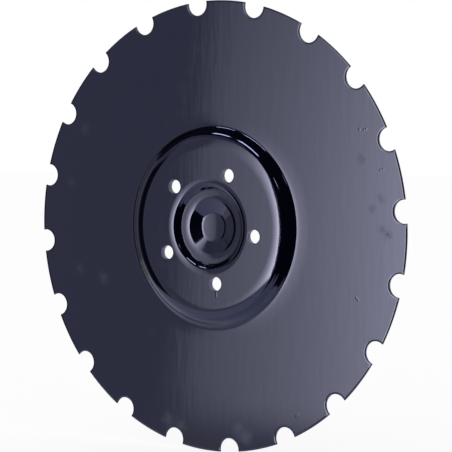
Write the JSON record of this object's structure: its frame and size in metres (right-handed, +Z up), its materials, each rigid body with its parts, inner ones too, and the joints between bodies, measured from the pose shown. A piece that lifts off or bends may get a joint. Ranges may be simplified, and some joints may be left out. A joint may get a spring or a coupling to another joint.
{
  "type": "disc blade",
  "caption": "Round steel disc blade with a notched rim, a raised bolt-on hub face and a closed, stepped centre recess that clears the hub.",
  "frame": {"origin": "centre of the bolt circle on the face that seats against the hub", "axes": "the disc's axis lies along Y and the hub side faces -Y; +Z is up as the blade stands in use, and X lies in its plane"},
  "size_m": [0.41, 0.014, 0.41],
  "materials": {
    "black_paint": "gloss blue-black paint over hardened steel"
  },
  "bodies": {
    "root": {"disc_blade": "black_paint"}
  },
  "joints": []
}
